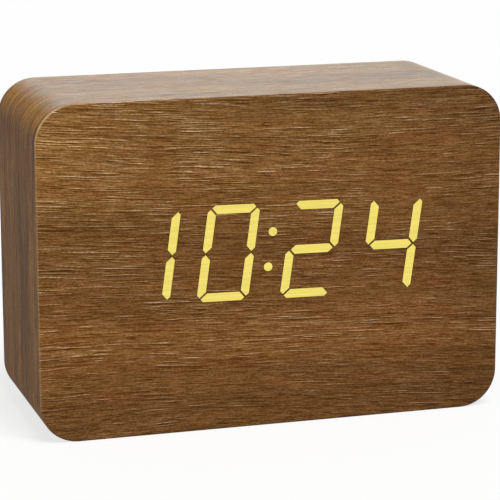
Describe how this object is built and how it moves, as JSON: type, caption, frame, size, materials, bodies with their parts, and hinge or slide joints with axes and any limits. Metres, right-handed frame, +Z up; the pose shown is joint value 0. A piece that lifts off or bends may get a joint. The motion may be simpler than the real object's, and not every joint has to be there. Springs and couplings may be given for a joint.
{
  "type": "radio-controlled alarm clock",
  "caption": "Rounded wood-look block alarm clock with yellow seven-segment digits glowing through the front veneer, rear push buttons, battery bay and radio time receiver.",
  "frame": {"origin": "on the table under the middle of the case: bottom centre of its box", "axes": "+X to the right seen from the front, +Y from the display to the rear cover, +Z up"},
  "size_m": [0.15, 0.058, 0.105],
  "materials": {
    "walnut_foil": "wood-look foil, horizontal grain, satin",
    "fibreboard": "raw fibreboard",
    "pine": "sawn pine",
    "lit_window": "lit yellow, even glow",
    "mask_film": "printed black film",
    "diffuser": "milky film",
    "white_abs": "moulded white plastic",
    "black_abs": "fine spark-eroded texture",
    "door_abs": "fine spark-eroded texture",
    "button_abs": "satin moulded plastic",
    "circuit_board": "green solder mask",
    "chip_epoxy": "moulded epoxy",
    "capacitor_sleeve": "shrunk sleeve",
    "zinc_steel": "zinc plated",
    "black_steel": "black oxide",
    "nickel": "nickel plated",
    "brass_disc": "thin spun brass",
    "ceramic_white": "silvered ceramic",
    "ferrite": "ground ferrite",
    "copper_winding": "enamelled copper",
    "nylon": "natural nylon",
    "foam": "foam tape",
    "ribbon_pvc": "flat cable",
    "red_pvc": "wire sleeve",
    "black_pvc": "wire sleeve",
    "cell_sleeve": "plain sleeve on a steel can",
    "lamp_resin": "clear resin",
    "rubber_boot": "moulded rubber"
  },
  "bodies": {
    "case": {"wood_carcass": "fibreboard", "corner_blocks": "pine", "veneer_wrap": "walnut_foil", "front_veneer": "walnut_foil", "rear_veneer": "walnut_foil", "lit_segments": "lit_window", "lit_colon": "lit_window", "light_mask": "mask_film", "diffuser_film": "diffuser", "segment_reflector": "white_abs", "segment_lamps": "lamp_resin", "display_board": "circuit_board", "display_screws": "zinc_steel", "driver_chip": "chip_epoxy", "capacitors": "capacitor_sleeve", "ribbon_sockets": "nylon", "ribbon_cable": "ribbon_pvc", "rear_cover": "black_abs", "cover_screws": "black_steel", "control_board": "circuit_board", "board_screws": "zinc_steel", "switch_housings": "chip_epoxy", "usb_shell": "nickel", "usb_insert": "black_pvc", "usb_contacts": "brass_disc", "microphone": "zinc_steel", "microphone_boot": "rubber_boot", "main_chip": "chip_epoxy", "crystal_can": "nickel", "sounder_disc": "brass_disc", "sounder_ceramic": "ceramic_white", "sounder_leads": "red_pvc", "battery_cells": "cell_sleeve", "contact_plates": "nickel", "contact_springs": "nickel", "positive_lead": "red_pvc", "negative_lead": "black_pvc", "ferrite_rod": "ferrite", "antenna_coil": "copper_winding", "antenna_saddles": "nylon", "antenna_leads": "copper_winding", "receiver_board": "circuit_board", "receiver_chip": "chip_epoxy", "receiver_pad": "foam", "receiver_lead": "ribbon_pvc"},
    "battery_door": {"battery_door": "door_abs"},
    "button_set": {"button_set": "button_abs", "stem_set": "chip_epoxy"},
    "button_alarm": {"button_alarm": "button_abs", "stem_alarm": "chip_epoxy"},
    "button_up": {"button_up": "button_abs", "stem_up": "chip_epoxy"},
    "button_down": {"button_down": "button_abs", "stem_down": "chip_epoxy"}
  },
  "joints": [
    {"name": "battery_door_tilt", "type": "hinge", "parent": "case", "child": "battery_door", "pos_m": [0, 0.0261, 0.02065], "axis": [-1, 0, 0], "range_deg": [0, 20]},
    {"name": "button_set_press", "type": "slide", "parent": "case", "child": "button_set", "axis": [0, -1, 0], "range_m": [0, 0.0005], "stiffness_N_per_m": 400},
    {"name": "button_alarm_press", "type": "slide", "parent": "case", "child": "button_alarm", "axis": [0, -1, 0], "range_m": [0, 0.0005], "stiffness_N_per_m": 400},
    {"name": "button_up_press", "type": "slide", "parent": "case", "child": "button_up", "axis": [0, -1, 0], "range_m": [0, 0.0005], "stiffness_N_per_m": 400},
    {"name": "button_down_press", "type": "slide", "parent": "case", "child": "button_down", "axis": [0, -1, 0], "range_m": [0, 0.0005], "stiffness_N_per_m": 400}
  ]
}
